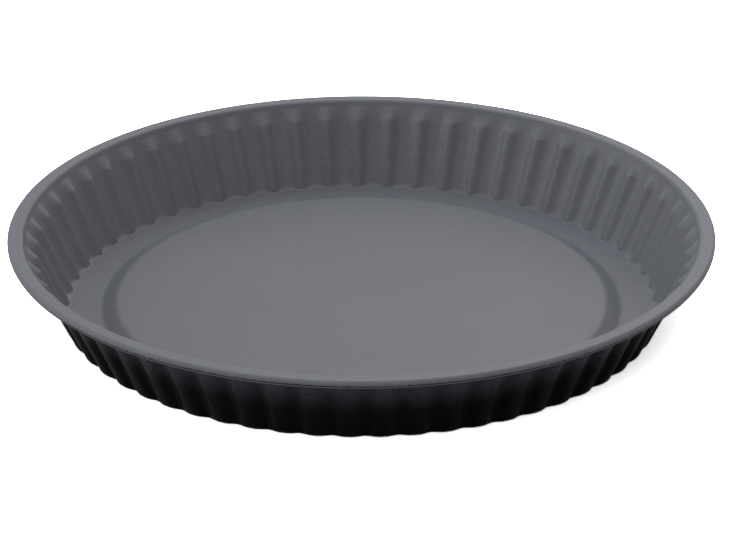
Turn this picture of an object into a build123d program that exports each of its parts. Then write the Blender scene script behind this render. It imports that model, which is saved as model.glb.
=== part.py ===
from build123d import *
import os
from math import atan, cos, degrees, pi, radians, sin, tan

# A round fluted pie dish, pressed in one draw from thin sheet steel and coated.
# Its floor has a raised disc in the middle. Its leaning wall has ribs pressed inwards all
# round. Its rim is a short flange, and the flange's edge is rolled round a steel wire.
# Sizes are in millimetres. The origin is on the ground, under the middle of the floor.

# Whole dish
rim_diameter = 290.0
height = 35.0
sheet = 0.4

# Leaning wall: how far it leans out over the dish's height, and the bend at its foot
wall_run = 16.55
foot_bend = 3.0

# Flutes: ribs pressed inwards, with wide rounded lobes between them
flute_count = 60
flute_depth_at_foot = 2.0
flute_depth_at_top = 2.8
floor_depth_share = 0.6
flute_run_out = 5.5
knee_share = 0.25
end_share = 0.3
rib_sharpness_share = 0.22
points_per_flute = 6

# Floor: the flat ring next to the wall, and the raised disc inside it
ring_width = 15.3
step_run = 6.3
step_height = 3.6
step_foot_bend = 4.0
step_crest_bend = 5.0
flat_beside_step = 3.0

# Flange and rolled edge
flange_width = 5.75
flange_bend = 1.3
wire_diameter = 2.2
wire_clearance = 0.1
curl_angle = 262.0

# The wall's outer face, as a straight line in a section through the middle
mouth_radius = rim_diameter / 2 - flange_width
base_radius = mouth_radius - wall_run
wall_slope = wall_run / height
lean = degrees(atan(wall_slope))
turn = 90.0 - lean
sheet_across_wall = sheet / cos(radians(lean))

# Heights on the wall: where the bend to the flange has its middle and the ribs end, where the
# ribs have their knee, above which they run out evenly, and where the bend at the foot ends
bend_height = height - sheet - flange_bend
flute_knee = bend_height - flute_run_out
foot_height = foot_bend * (1 - cos(radians(turn)))
steepest_share = 1 / (1 - knee_share / 2 - end_share / 2)

# The rolled edge and its wire
curl_inner_radius = wire_diameter / 2 + wire_clearance
curl_radius = curl_inner_radius + sheet
wire_ring_radius = rim_diameter / 2 - curl_radius
wire_height = height - curl_radius

# The step up to the raised disc
step_foot_radius = base_radius - ring_width
step_crest_radius = step_foot_radius - step_run
step_angle = degrees(atan(step_height / step_run))
step_foot_tangent = step_foot_radius + step_foot_bend * tan(radians(step_angle / 2))
step_crest_tangent = step_crest_radius - step_crest_bend * tan(radians(step_angle / 2))
floor_joint_radius = step_foot_tangent + flat_beside_step


def wall_radius(z):
    """Radius of the wall's outer face on the lobes, at height z."""
    return base_radius + wall_slope * z


def flute_depth(z):
    """Depth of the ribs at height z: whole up to the rounded knee, then evenly down to nothing.

    In the bend at the foot they are shallower, by floor_depth_share where it meets the floor.
    """
    share = min(max((z - flute_knee) / flute_run_out, 0.0), 1.0)
    if share < knee_share:
        lost = steepest_share * share * share / (2 * knee_share)
    elif share < 1 - end_share:
        lost = steepest_share * (share - knee_share / 2)
    else:
        lost = 1 - steepest_share * (1 - share) * (1 - share) / (2 * end_share)
    rise = min(z / flute_knee, 1.0)
    below = 1 - min(z / foot_height, 1.0)
    whole = (1 - lost) * (1 - (1 - floor_depth_share) * below * below)
    return whole * (flute_depth_at_foot + (flute_depth_at_top - flute_depth_at_foot) * rise)


def flute_wave(angle):
    """0 on the middle of a lobe and 1 on the middle of a rib, with ribs narrower than lobes."""
    swing = cos(flute_count * angle)
    return (1 - swing) / 2 - rib_sharpness_share * (1 - swing * swing)


def fluted_outline(radius, depth):
    """One closed smooth curve: that radius on the lobes, with ribs of that depth."""
    count = flute_count * points_per_flute
    angles = [2 * pi * i / count for i in range(count)]
    reach = [radius - depth * flute_wave(angle) for angle in angles]
    points = [(r * cos(angle), r * sin(angle)) for r, angle in zip(reach, angles)]
    return Edge.make_spline(points, periodic=True, parameters=[float(i) for i in range(count + 1)])


def wall_sections(inset):
    """Radius, height and rib depth of each section of the wall, on the face that lies inset within the outer one."""
    bend = foot_bend - inset
    bend_centre = base_radius - foot_bend * tan(radians(turn / 2))
    foot_steps = 6
    foot_angles = [radians(turn * i / foot_steps) for i in range(foot_steps + 1)]
    foot_depths = [flute_depth(foot_bend * (1 - cos(a))) for a in foot_angles]
    foot = [(bend_centre + bend * sin(a), foot_bend - bend * cos(a), d) for a, d in zip(foot_angles, foot_depths)]
    run_out_steps = 3
    knee_shares = [knee_share * i / run_out_steps for i in range(run_out_steps + 1)]
    end_shares = [1 - end_share * i / run_out_steps for i in range(run_out_steps, -1, -1)]
    heights = [flute_knee + flute_run_out * share for share in knee_shares + end_shares]
    inset_across_wall = inset / cos(radians(lean))
    return foot + [(wall_radius(z) - inset_across_wall, z, flute_depth(z)) for z in heights]


def outline_wire(radius, z, depth):
    """The fluted outline as a wire at height z."""
    return Wire([fluted_outline(radius, depth).moved(Location((0, 0, z)))])


def wall_faces(inset):
    """The wall's face at that inset, from the flat floor up to the bend under the flange."""
    return Shell.make_loft([outline_wire(*section) for section in wall_sections(inset)], ruled=True).faces()


def ring_face(inset):
    """The flat ring of the floor at that inset, from the fluted foot in to the raised disc's joint."""
    radius, z, depth = wall_sections(inset)[0]
    return Face(outline_wire(radius, z, depth), [Wire.make_circle(floor_joint_radius, Plane.XY.offset(z))])


# Raised disc with its step, its underside and its top face, in a section through the middle
foot_centre = (step_foot_tangent, sheet + step_foot_bend)
crest_centre = (step_crest_tangent, sheet + step_height - step_crest_bend)
with BuildLine(Plane.XZ) as disc_underside:
    under_foot = CenterArc(foot_centre, step_foot_bend + sheet, -90, -step_angle)
    under_crest = CenterArc(crest_centre, step_crest_bend - sheet, 90 - step_angle, step_angle)
    Line((floor_joint_radius, 0), under_foot @ 0)
    Line(under_foot @ 1, under_crest @ 0)
    Line(under_crest @ 1, (0, step_height))
with BuildLine(Plane.XZ) as disc_top:
    over_foot = CenterArc(foot_centre, step_foot_bend, -90, -step_angle)
    over_crest = CenterArc(crest_centre, step_crest_bend, 90 - step_angle, step_angle)
    Line((floor_joint_radius, sheet), over_foot @ 0)
    Line(over_foot @ 1, over_crest @ 0)
    Line(over_crest @ 1, (0, step_height + sheet))

# The wall's top above the ribs, the bend, the flange and the edge rolled round the wire
bend_centre = (wall_radius(bend_height) + flange_bend / cos(radians(lean)), bend_height)
curl_centre = (wire_ring_radius, wire_height)
with BuildLine(Plane.XZ) as rim_outline:
    under_bend = CenterArc(bend_centre, flange_bend, 180 - lean, -turn)
    over_bend = CenterArc(bend_centre, flange_bend + sheet, 180 - lean, -turn)
    curl_inside = CenterArc(curl_centre, curl_inner_radius, 90, -curl_angle)
    curl_outside = CenterArc(curl_centre, curl_radius, 90, -curl_angle)
    Line((wall_radius(bend_height), bend_height), under_bend @ 0)
    Line(under_bend @ 1, curl_inside @ 0)
    Line(curl_inside @ 1, curl_outside @ 1)
    Line(curl_outside @ 0, over_bend @ 1)
    Line(over_bend @ 0, (wall_radius(bend_height) - sheet_across_wall, bend_height))

# All faces of the pressing, which close round one thin sheet from the floor to the rolled edge
faces = wall_faces(0.0) + wall_faces(sheet) + [ring_face(0.0), ring_face(sheet)]
for profile in (disc_underside, disc_top, rim_outline):
    faces += Shell.revolve(profile.line, 360, Axis.Z).faces()
pressing = Solid(Shell(faces))

# The dish itself
with BuildPart() as dish_shell:
    add(pressing)
dish_shell.part.label = "dish_shell"

# The wire inside the rolled edge, a closed ring
with BuildPart() as rim_wire:
    with BuildSketch(Plane.XZ):
        with Locations((wire_ring_radius, wire_height)):
            Circle(wire_diameter / 2)
    revolve(axis=Axis.Z)
rim_wire.part.label = "rim_wire"

os.makedirs("parts", exist_ok=True)
export_step(dish_shell.part, "parts/dish_shell.step")
export_step(rim_wire.part, "parts/rim_wire.step")
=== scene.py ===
import bpy
from math import atan, cos, pi, radians, sin, tan
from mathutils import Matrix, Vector


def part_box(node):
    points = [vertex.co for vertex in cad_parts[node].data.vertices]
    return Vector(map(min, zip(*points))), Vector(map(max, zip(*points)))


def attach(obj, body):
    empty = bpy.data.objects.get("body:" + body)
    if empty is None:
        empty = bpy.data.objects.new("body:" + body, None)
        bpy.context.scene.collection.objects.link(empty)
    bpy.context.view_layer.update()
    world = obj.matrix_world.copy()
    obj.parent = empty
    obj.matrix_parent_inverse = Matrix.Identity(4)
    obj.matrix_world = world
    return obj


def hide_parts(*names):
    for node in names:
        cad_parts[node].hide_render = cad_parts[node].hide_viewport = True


# The dressed pie dish: a coated steel pressing with a fluted wall, a raised disc in its floor
# and an edge rolled round a wire. Lengths are in metres.

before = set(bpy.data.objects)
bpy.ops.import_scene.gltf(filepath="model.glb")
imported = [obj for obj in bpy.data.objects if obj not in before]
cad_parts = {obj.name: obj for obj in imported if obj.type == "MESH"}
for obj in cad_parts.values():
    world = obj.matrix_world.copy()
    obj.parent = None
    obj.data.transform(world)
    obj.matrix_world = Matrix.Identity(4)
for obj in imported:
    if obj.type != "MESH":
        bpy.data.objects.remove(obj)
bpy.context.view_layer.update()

# Sizes taken from the frame
shell_low, shell_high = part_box("dish_shell")
wire_low, wire_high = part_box("rim_wire")
rim_radius = (shell_high.x - shell_low.x) / 2
height = shell_high.z
wire_radius = (wire_high.z - wire_low.z) / 2

# The pressing, in the same words as the part. Three shares are nearer to the photo than the part's
# own: floor_depth_share, by which the ribs fade at the foot, and knee_share and end_share, with
# which they end at the top.
mm = 0.001
sheet = 0.4 * mm
wall_run = 16.55 * mm
foot_bend = 3.0 * mm
flute_count = 60
flute_depth_at_foot = 2.0 * mm
flute_depth_at_top = 2.8 * mm
floor_depth_share = 0.4
flute_run_out = 5.5 * mm
knee_share = 0.14
end_share = 0.25
rib_sharpness_share = 0.22
ring_width = 15.3 * mm
step_run = 6.3 * mm
step_height = 3.6 * mm
step_foot_bend = 4.0 * mm
step_crest_bend = 5.0 * mm
flange_width = 5.75 * mm
flange_bend = 1.3 * mm
wire_clearance = 0.1 * mm
curl_angle = radians(262)

# Worked out from those sizes, for a section through the middle of the dish
base_radius = rim_radius - flange_width - wall_run
wall_slope = wall_run / height
lean = atan(wall_slope)
turn = pi / 2 - lean
bend_height = height - sheet - flange_bend
flute_knee = bend_height - flute_run_out
foot_height = foot_bend * (1 - cos(turn))
foot_tangent = base_radius - foot_bend * tan(turn / 2)
steepest_share = 1 / (1 - knee_share / 2 - end_share / 2)
curl_inner_radius = wire_radius + wire_clearance
curl_radius = curl_inner_radius + sheet
curl_centre = (rim_radius - curl_radius, height - curl_radius)
step_foot_radius = base_radius - ring_width
step_crest_radius = step_foot_radius - step_run
step_angle = atan(step_height / step_run)
step_foot_tangent = step_foot_radius + step_foot_bend * tan(step_angle / 2)
step_crest_tangent = step_crest_radius - step_crest_bend * tan(step_angle / 2)

# How finely the mesh follows the pressing: columns round each flute, and points along each
# stretch of the section, from the middle of the disc outwards
columns_per_flute = 16
columns = flute_count * columns_per_flute
disc_points = 24
crest_points = 8
slope_points = 4
hollow_points = 8
ring_points = 12
foot_points = 12
rib_points = 16
run_out_points = 28
above_ribs_points = 2
bend_points = 10
flange_points = 6
curl_outside_points = 36
cut_edge_points = 3
curl_inside_points = 28
sharp_edge_angle = radians(50)


def spread(start, end, count):
    """Evenly spaced values after start, up to and with end."""
    return [start + (end - start) * (i + 1) / count for i in range(count)]


def arc(centre, radius, start, end, count):
    """Points (r, z) along an arc of the section, after its start."""
    return [on_circle(centre, radius, angle) for angle in spread(start, end, count)]


def on_circle(centre, radius, angle):
    """The point (r, z) at that angle round a centre in the section."""
    return centre[0] + radius * cos(angle), centre[1] + radius * sin(angle)


def line(start, end, count):
    """Points (r, z) along a straight stretch of the section, after its start."""
    return list(zip(spread(start[0], end[0], count), spread(start[1], end[1], count)))


def wall_radius(z):
    """Radius of the wall's outer face on the lobes, at height z."""
    return base_radius + wall_slope * z


def flute_depth(z):
    """Depth of the ribs at height z: whole up to the rounded knee, then evenly down to nothing.

    In the bend at the foot they are shallower, by floor_depth_share where it meets the floor.
    """
    share = min(max((z - flute_knee) / flute_run_out, 0.0), 1.0)
    if share < knee_share:
        lost = steepest_share * share * share / (2 * knee_share)
    elif share < 1 - end_share:
        lost = steepest_share * (share - knee_share / 2)
    else:
        lost = 1 - steepest_share * (1 - share) * (1 - share) / (2 * end_share)
    rise = min(z / flute_knee, 1.0)
    below = 1 - min(z / foot_height, 1.0)
    whole = (1 - lost) * (1 - (1 - floor_depth_share) * below * below)
    return whole * (flute_depth_at_foot + (flute_depth_at_top - flute_depth_at_foot) * rise)


def ring_share(r):
    """0 at the foot of the step and 1 at the scalloped foot of the wall."""
    return min(max((r - step_foot_tangent) / (foot_tangent - step_foot_tangent), 0.0), 1.0)


def depth_on(r, z, inset):
    """Depth of the ribs at a point of the section: none on the disc, and alike on both faces in the bend."""
    bend = foot_bend - inset
    if z < foot_bend - bend * cos(turn):
        z = foot_bend * (1 - (foot_bend - z) / bend)
    return flute_depth(max(z, 0.0)) * ring_share(r)


def flute_wave(angle):
    """0 on the middle of a lobe and 1 on the middle of a rib, with ribs narrower than lobes."""
    swing = cos(flute_count * angle)
    return (1 - swing) / 2 - rib_sharpness_share * (1 - swing * swing)


def floor_line(inset):
    """One face of the floor from the middle of the disc out to the wall's foot, as points (r, z)."""
    foot_centre = (step_foot_tangent, sheet + step_foot_bend)
    crest_centre = (step_crest_tangent, sheet + step_height - step_crest_bend)
    crest = step_crest_bend - sheet + inset
    hollow = step_foot_bend + sheet - inset
    down = -pi / 2
    slope_end = on_circle(foot_centre, hollow, down - step_angle)
    points = [(0.0, inset + step_height)]
    points += line(points[-1], (step_crest_tangent, inset + step_height), disc_points)
    points += arc(crest_centre, crest, pi / 2, pi / 2 - step_angle, crest_points)
    points += line(points[-1], slope_end, slope_points)
    points += arc(foot_centre, hollow, down - step_angle, down, hollow_points)
    points += line(points[-1], (foot_tangent, inset), ring_points)
    return points + arc((foot_tangent, foot_bend), foot_bend - inset, down, down + turn, foot_points)


def wall_line(start_height, inset):
    """One face of the wall and of the bend to the flange, from that height on, as points (r, z)."""
    bend = flange_bend + inset
    bend_centre = (wall_radius(bend_height) + flange_bend / cos(lean), bend_height)
    inset_across = inset / cos(lean)
    heights = spread(start_height, flute_knee, rib_points)
    heights += spread(flute_knee, bend_height, run_out_points)
    heights += spread(bend_height, bend_height + bend * sin(lean), above_ribs_points)
    points = [(wall_radius(z) - inset_across, z) for z in heights]
    return points + arc(bend_centre, bend, pi - lean, pi / 2, bend_points)


def floor_to_flange(inset):
    """One face of the pressing from its middle out to the flange, as points (r, z, rib depth).

    inset is 0 for the underside and the outer wall, and the sheet's thickness for the top side.
    """
    points = floor_line(inset)
    points += wall_line(points[-1][1], inset)
    return [(r, z, depth_on(r, z, inset)) for r, z in points]


def section():
    """The whole closed section: the top side outwards with the rolled edge, the underside back inwards."""
    top = floor_to_flange(sheet)
    under = floor_to_flange(0.0)
    start = pi / 2
    end = start - curl_angle
    cut_inside = on_circle(curl_centre, curl_inner_radius, end)
    edge = line(top[-1], (curl_centre[0], height), flange_points)
    edge += arc(curl_centre, curl_radius, start, end, curl_outside_points)
    edge += line(edge[-1], cut_inside, cut_edge_points)
    edge += arc(curl_centre, curl_inner_radius, end, start, curl_inside_points)
    edge += line(edge[-1], under[-1], flange_points)[:-1]
    return top + [(r, z, 0.0) for r, z in edge], under[::-1]


def new_object(name, verts, faces):
    """A mesh object with smooth faces, linked to the scene."""
    mesh = bpy.data.meshes.new(name)
    mesh.from_pydata(verts, [], faces)
    mesh.validate()
    mesh.polygons.foreach_set("use_smooth", [True] * len(mesh.polygons))
    mesh.update()
    piece = bpy.data.objects.new(name, mesh)
    bpy.context.scene.collection.objects.link(piece)
    return piece


def pressing():
    """The shell as one closed skin of four-sided faces, fluted by formula."""
    top, under = section()
    rings = top[1:] + under[:-1]
    angles = [2 * pi * i / columns for i in range(columns)]
    waves = [flute_wave(a) for a in angles]
    verts = []
    for r, z, depth in rings:
        verts += [((r - depth * w) * cos(a), (r - depth * w) * sin(a), z) for a, w in zip(angles, waves)]
    faces = []
    for k in range(len(rings) - 1):
        low = k * columns
        high = low + columns
        for i in range(columns):
            beside = (i + 1) % columns
            faces.append((low + beside, low + i, high + i, high + beside))
    last = (len(rings) - 1) * columns
    faces.append(tuple(range(columns)))
    faces.append(tuple(last + i for i in range(columns - 1, -1, -1)))
    return new_object("coated_pressing", verts, faces)


shell = pressing()
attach(shell, "root")
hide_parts("dish_shell")


def feed(tree, socket, value):
    """Gives a socket a plain value, or links it to the socket that value is."""
    if isinstance(value, bpy.types.NodeSocket):
        tree.links.new(value, socket)
    else:
        socket.default_value = value


def maths(tree, operation, *values):
    """The output of a Math node fed with those numbers or sockets."""
    node = tree.nodes.new("ShaderNodeMath")
    node.operation = operation
    for socket, value in zip(node.inputs, values):
        feed(tree, socket, value)
    return node.outputs[0]


def noise(tree, place, grains, layers, roughness):
    """Noise from about 0 to 1, with that many grains to a metre and that many finer layers."""
    node = tree.nodes.new("ShaderNodeTexNoise")
    feed(tree, node.inputs["Vector"], place)
    node.inputs["Scale"].default_value = grains
    node.inputs["Detail"].default_value = layers
    node.inputs["Roughness"].default_value = roughness
    return node.outputs["Fac"]


def between(tree, value, low, high, start=0.0, end=1.0):
    """Goes smoothly from start to end as value goes from low to high."""
    node = tree.nodes.new("ShaderNodeMapRange")
    node.interpolation_type = "SMOOTHSTEP"
    for socket, given in zip(node.inputs, (value, low, high, start, end)):
        feed(tree, socket, given)
    return node.outputs["Result"]


def swing(tree, value, amount):
    """A noise value turned into a small change, up and down around zero."""
    return maths(tree, "MULTIPLY", maths(tree, "SUBTRACT", value, 0.5), amount)


def total(tree, *values):
    """The sum of numbers and sockets."""
    result = values[0]
    for value in values[1:]:
        result = maths(tree, "ADD", result, value)
    return result


def varied(tree, middle, *swings):
    """A middle value changed by pairs of a noise and the amount it swings by."""
    return total(tree, middle, *[swing(tree, value, amount) for value, amount in swings])


def shaded(tree, rgb, shade):
    """A colour times a shade."""
    node = tree.nodes.new("ShaderNodeVectorMath")
    node.operation = "SCALE"
    node.inputs[0].default_value = rgb
    feed(tree, node.inputs["Scale"], shade)
    return node.outputs["Vector"]


def mixed(tree, share, first, second):
    """Two colours mixed."""
    node = tree.nodes.new("ShaderNodeMix")
    node.data_type = "RGBA"
    feed(tree, node.inputs["Factor"], share)
    feed(tree, node.inputs["A"], first)
    feed(tree, node.inputs["B"], second)
    return node.outputs["Result"]


def split(tree, place):
    """The three parts of a place."""
    node = tree.nodes.new("ShaderNodeSeparateXYZ")
    tree.links.new(place, node.inputs[0])
    return node.outputs


def new_material(name):
    """A material with a principled shader, and the object's own coordinates."""
    made = bpy.data.materials.new(name)
    made.use_nodes = True
    tree = made.node_tree
    place = tree.nodes.new("ShaderNodeTexCoord").outputs["Object"]
    return made, tree, tree.nodes["Principled BSDF"], place


def bumped(tree, shader, height_value, distance):
    """Fine relief on a shader, as high as distance where the height value is 1."""
    node = tree.nodes.new("ShaderNodeBump")
    node.inputs["Strength"].default_value = 1.0
    node.inputs["Distance"].default_value = distance
    feed(tree, node.inputs["Height"], height_value)
    tree.links.new(node.outputs["Normal"], shader.inputs["Normal"])


def two_reliefs(tree, first, second, first_share):
    """Two height values added, the first with that share of the whole."""
    first_part = maths(tree, "MULTIPLY", first, first_share)
    return total(tree, first_part, maths(tree, "MULTIPLY", second, 1 - first_share))


# Each noise of a finish is its grains to a metre, its layers and how rough the layers are

# Inside coating: colour, gloss, noises, how much each noise swings the shade and the roughness
inside_colour = (0.137, 0.144, 0.165)
inside_roughness = 0.46
inside_specular = 0.16
inside_cloud = (22, 2, 0.5)
inside_mottle = (240, 3, 0.6)
inside_speckle = (1000, 3, 0.8)
inside_grain = (3200, 1, 0.5)
inside_cloud_shade = 0.12
inside_mottle_shade = 0.16
inside_speckle_shade = 0.60
inside_mottle_roughness = 0.10
inside_speckle_roughness = 0.16
inside_relief = 0.03 * mm
inside_speckle_relief_share = 0.6

# Bare edge of the inside coating on the roll, with a thin dark line of painted crease shade above it. Angles
# are round the roll's middle, with 0 on its outermost line and downwards counted as minus.
nick_noise = (420, 4, 0.8)
nick_reach = 0.2
# The dark line is painted shade of a crease along the roll; its edge is nicked by noise
painted_crease_start = radians(4)
painted_crease_end = radians(-12)
painted_crease_reach = 1.1
painted_crease_colour = (0.012, 0.012, 0.014, 1)
bare_start = radians(-26)
bare_whole = radians(-30)
roll_start = radians(-60)
roll_end = radians(-70)
bare_noise = (900, 2, 0.6)
bare_shade = 0.9
bare_noise_shade = 0.5
bare_edge_colour = (0.24, 0.236, 0.228)
steel_roughness = 0.35

# Outside coating, with painted shade by height: palest under the rim and painted nearly black at the foot
# and underneath
outside_colour = (0.070, 0.075, 0.092)
outside_roughness = 0.4
outside_specular = 0.055
outside_cloud = (30, 2, 0.5)
outside_mottle = (300, 3, 0.6)
outside_speckle = (1600, 2, 0.7)
outside_cloud_shade = 0.3
outside_mottle_shade = 0.4
outside_speckle_shade = 0.9
outside_mottle_roughness = 0.12
outside_speckle_roughness = 0.16
outside_relief = 0.03 * mm
outside_speckle_relief_share = 0.7
painted_dark_below = 13 * mm
painted_shade_top = 33 * mm
painted_shade_waver = 6 * mm
darkest_painted_shade = 0.008

# Drawn wire
steel_colour = (0.40, 0.39, 0.37)
wire_patches = (500, 3, 0.6)
wire_patch_shade = 0.4
wire_patch_roughness = 0.2
wire_relief = 0.01 * mm


def curl_angle_at(tree, place):
    """Angle round the roll's middle in radians: a quarter turn on its top, 0 on its outermost line."""
    x, y, z = split(tree, place)
    square = total(tree, maths(tree, "MULTIPLY", x, x), maths(tree, "MULTIPLY", y, y))
    out = maths(tree, "SUBTRACT", maths(tree, "SQRT", square), curl_centre[0])
    up = maths(tree, "SUBTRACT", z, curl_centre[1])
    return maths(tree, "ARCTAN2", up, out)


def roll_edge(tree, place):
    """Where the roll has its painted dark line of crease shade, with a rough edge, and where it has bare
    steel, as shares.
    """
    angle = curl_angle_at(tree, place)
    nicks = noise(tree, place, *nick_noise)
    covered = between(tree, varied(tree, angle, (nicks, nick_reach)), bare_whole, bare_start)
    # Painted shade of a crease: a dark line along the roll
    painted_crease = between(tree, varied(tree, angle, (nicks, painted_crease_reach)), painted_crease_start, painted_crease_end)
    on_roll = between(tree, angle, roll_end, roll_start)
    bare = maths(tree, "MULTIPLY", maths(tree, "SUBTRACT", 1.0, covered), on_roll)
    return maths(tree, "MULTIPLY", painted_crease, on_roll), bare


def inside_finish():
    """Grey satin coating, which ends on the roll in a rough dark line of painted crease shade, with bare
    steel below it.
    """
    made, tree, shader, place = new_material("inside_coating")
    cloud = noise(tree, place, *inside_cloud)
    mottle = noise(tree, place, *inside_mottle)
    speckle = noise(tree, place, *inside_speckle)
    grain = noise(tree, place, *inside_grain)
    shade = varied(tree, 1.0, (cloud, inside_cloud_shade), (mottle, inside_mottle_shade),
                   (speckle, inside_speckle_shade))
    painted_crease_share, bare = roll_edge(tree, place)
    steel = shaded(tree, bare_edge_colour,
                   varied(tree, bare_shade, (noise(tree, place, *bare_noise), bare_noise_shade)))
    # The coating's colour gives way to the painted dark crease line here
    coated = mixed(tree, painted_crease_share, shaded(tree, inside_colour, shade), painted_crease_colour)
    rough = varied(tree, inside_roughness, (mottle, inside_mottle_roughness),
                   (speckle, inside_speckle_roughness))
    feed(tree, shader.inputs["Base Color"], mixed(tree, bare, coated, steel))
    feed(tree, shader.inputs["Metallic"], bare)
    feed(tree, shader.inputs["Roughness"], between(tree, bare, 0.0, 1.0, rough, steel_roughness))
    shader.inputs["Specular IOR Level"].default_value = inside_specular
    bumped(tree, shader, two_reliefs(tree, speckle, grain, inside_speckle_relief_share), inside_relief)
    return made


def outside_finish():
    """Dark coating of the outer wall and the underside, with painted shade that darkens it towards the foot.
    """
    made, tree, shader, place = new_material("outside_coating")
    cloud = noise(tree, place, *outside_cloud)
    mottle = noise(tree, place, *outside_mottle)
    speckle = noise(tree, place, *outside_speckle)
    shade = varied(tree, 1.0, (cloud, outside_cloud_shade), (mottle, outside_mottle_shade),
                   (speckle, outside_speckle_shade))
    # Painted shade: the colour darkens from under the rim down to the foot, along a wavering edge
    level = varied(tree, split(tree, place)[2], (mottle, painted_shade_waver))
    painted_height_shade = between(tree, level, painted_dark_below, painted_shade_top, darkest_painted_shade, 1.0)
    rough = varied(tree, outside_roughness, (mottle, outside_mottle_roughness),
                   (speckle, outside_speckle_roughness))
    colour = shaded(tree, outside_colour, maths(tree, "MULTIPLY", shade, painted_height_shade))
    feed(tree, shader.inputs["Base Color"], colour)
    feed(tree, shader.inputs["Roughness"], rough)
    shader.inputs["Specular IOR Level"].default_value = outside_specular
    bumped(tree, shader, two_reliefs(tree, speckle, mottle, outside_speckle_relief_share), outside_relief)
    return made


def wire_finish():
    """Drawn steel wire with fine dull patches."""
    made, tree, shader, place = new_material("drawn_wire")
    patch = noise(tree, place, *wire_patches)
    shade = varied(tree, 1.0, (patch, wire_patch_shade))
    feed(tree, shader.inputs["Base Color"], shaded(tree, steel_colour, shade))
    feed(tree, shader.inputs["Roughness"], varied(tree, steel_roughness, (patch, wire_patch_roughness)))
    shader.inputs["Metallic"].default_value = 1.0
    bumped(tree, shader, patch, wire_relief)
    return made


def coat(piece):
    """The inside coating on the top side as far as the cut edge of the roll, the outside one on the rest."""
    piece.data.materials.append(inside_finish())
    piece.data.materials.append(outside_finish())
    top = section()[0]
    cut_ring = len(top) - 1 - curl_inside_points - flange_points
    for polygon in piece.data.polygons:
        if polygon.vertices[0] >= cut_ring * columns:
            polygon.material_index = 1


coat(shell)
shell.data.set_sharp_from_angle(angle=sharp_edge_angle)

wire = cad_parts["rim_wire"]
wire.data.materials.clear()
wire.data.materials.append(wire_finish())

# Floor and studio. To the camera alone the floor sends back its light several times over and
# glows a little, so that it is white outside the dish's shadow.
floor_reach = 4.0
floor_pale = 0.9
floor_pale_times = 5
floor_glow = 0.3
floor_sent_up = 0.6
sky_light = 0.13


def diffuse(tree, grey):
    """A plain matt shader."""
    node = tree.nodes.new("ShaderNodeBsdfDiffuse")
    node.inputs["Color"].default_value = (grey, grey, grey, 1)
    return node.outputs[0]


def joined(tree, kind, *values):
    """Shaders added or mixed."""
    node = tree.nodes.new(kind)
    for socket, value in zip(node.inputs, values):
        feed(tree, socket, value)
    return node.outputs[0]


def floor_material():
    """White to the camera around the shadow, pale in reflections, and light grey in what lights the dish."""
    made = bpy.data.materials.new("studio_floor")
    made.use_nodes = True
    tree = made.node_tree
    tree.nodes.clear()
    path = tree.nodes.new("ShaderNodeLightPath").outputs
    mirrored = maths(tree, "MAXIMUM", path["Is Glossy Ray"], path["Is Transmission Ray"])
    painted_height_shade = diffuse(tree, floor_pale)
    glow = tree.nodes.new("ShaderNodeEmission")
    glow.inputs["Strength"].default_value = floor_glow
    white = glow.outputs[0]
    for _ in range(floor_pale_times):
        white = joined(tree, "ShaderNodeAddShader", white, painted_height_shade)
    sent_up = joined(tree, "ShaderNodeMixShader", mirrored, diffuse(tree, floor_sent_up), painted_height_shade)
    seen = joined(tree, "ShaderNodeMixShader", path["Is Camera Ray"], sent_up, white)
    out = tree.nodes.new("ShaderNodeOutputMaterial")
    tree.links.new(seen, out.inputs["Surface"])
    return made


def studio_world():
    """White where it is seen or mirrored, and a dim even sky as a source of light."""
    world = bpy.data.worlds.new("studio")
    bpy.context.scene.world = world
    world.use_nodes = True
    tree = world.node_tree
    path = tree.nodes.new("ShaderNodeLightPath").outputs
    mirrored = maths(tree, "MAXIMUM", path["Is Glossy Ray"], path["Is Transmission Ray"])
    seen = maths(tree, "MAXIMUM", path["Is Camera Ray"], mirrored)
    background = tree.nodes["Background"].inputs
    background["Color"].default_value = (1, 1, 1, 1)
    tree.links.new(maths(tree, "MAXIMUM", seen, sky_light), background["Strength"])


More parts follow.
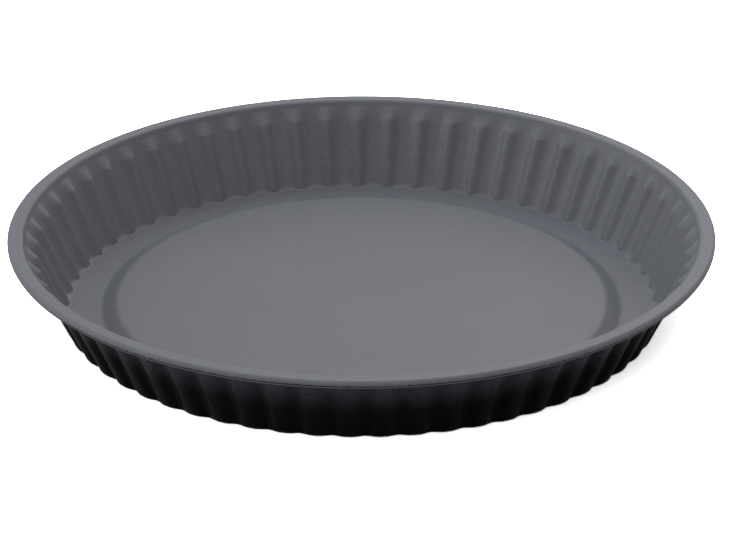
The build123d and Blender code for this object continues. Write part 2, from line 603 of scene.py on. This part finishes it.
corners = [(-floor_reach, -floor_reach), (floor_reach, -floor_reach), (floor_reach, floor_reach),
           (-floor_reach, floor_reach)]
floor = new_object("studio_floor", [(x, y, 0) for x, y in corners], [(0, 1, 2, 3)])
floor.data.materials.append(floor_material())
studio_world()

# Soft lamps: name, degrees round from +X, degrees up from the floor, and power in watts
lamp_distance = 1.8
lamp_size = 1.1
lamps = (
    ("overhead", 0, 89.9, 4.8),
    ("left", 180, 25, 9.5),
    ("low_left", 180, 14, 4.5),
    ("back", 90, 55, 9.6),
    ("front", 270, 48, 8.3),
    ("low_back", 70, 30, 4.6),
    ("right", 0, 55, 1.6),
    ("low_right", 0, 14, 1.8),
)


def soft_lamp(name, turn_round, up, power):
    """A square area lamp that faces the dish."""
    data = bpy.data.lights.new(name, "AREA")
    data.size = lamp_size
    data.energy = power
    lamp = bpy.data.objects.new(name, data)
    turn_round = radians(turn_round)
    up = radians(up)
    place = Vector((cos(up) * cos(turn_round), cos(up) * sin(turn_round), sin(up))) * lamp_distance
    lamp.location = place
    lamp.rotation_euler = (-place).to_track_quat("-Z", "Y").to_euler()
    bpy.context.scene.collection.objects.link(lamp)


for lamp_values in lamps:
    soft_lamp(*lamp_values)

# Camera, fitted to the photograph's outline of the rim and foot
photo_width = 750
focal_pixels = 3543.7
sensor_width = 36.0
camera_distance = 1.46995
camera_elevation = radians(25.078)
camera_azimuth = radians(2.293)
camera_pitch = radians(24.628)
camera_yaw = radians(0.2397)


def photo_camera():
    """The camera of the photograph, in front of the dish and a little turned round it."""
    data = bpy.data.cameras.new("camera")
    data.sensor_width = sensor_width
    data.lens = focal_pixels * sensor_width / photo_width
    camera = bpy.data.objects.new("camera", data)
    reach = camera_distance * cos(camera_elevation)
    up = camera_distance * sin(camera_elevation)
    camera.location = (reach * sin(camera_azimuth), -reach * cos(camera_azimuth), up)
    camera.rotation_euler = (pi / 2 - camera_pitch, 0, camera_azimuth - camera_yaw)
    bpy.context.scene.collection.objects.link(camera)
    bpy.context.scene.camera = camera


photo_camera()
bpy.context.scene.view_settings.view_transform = "Standard"
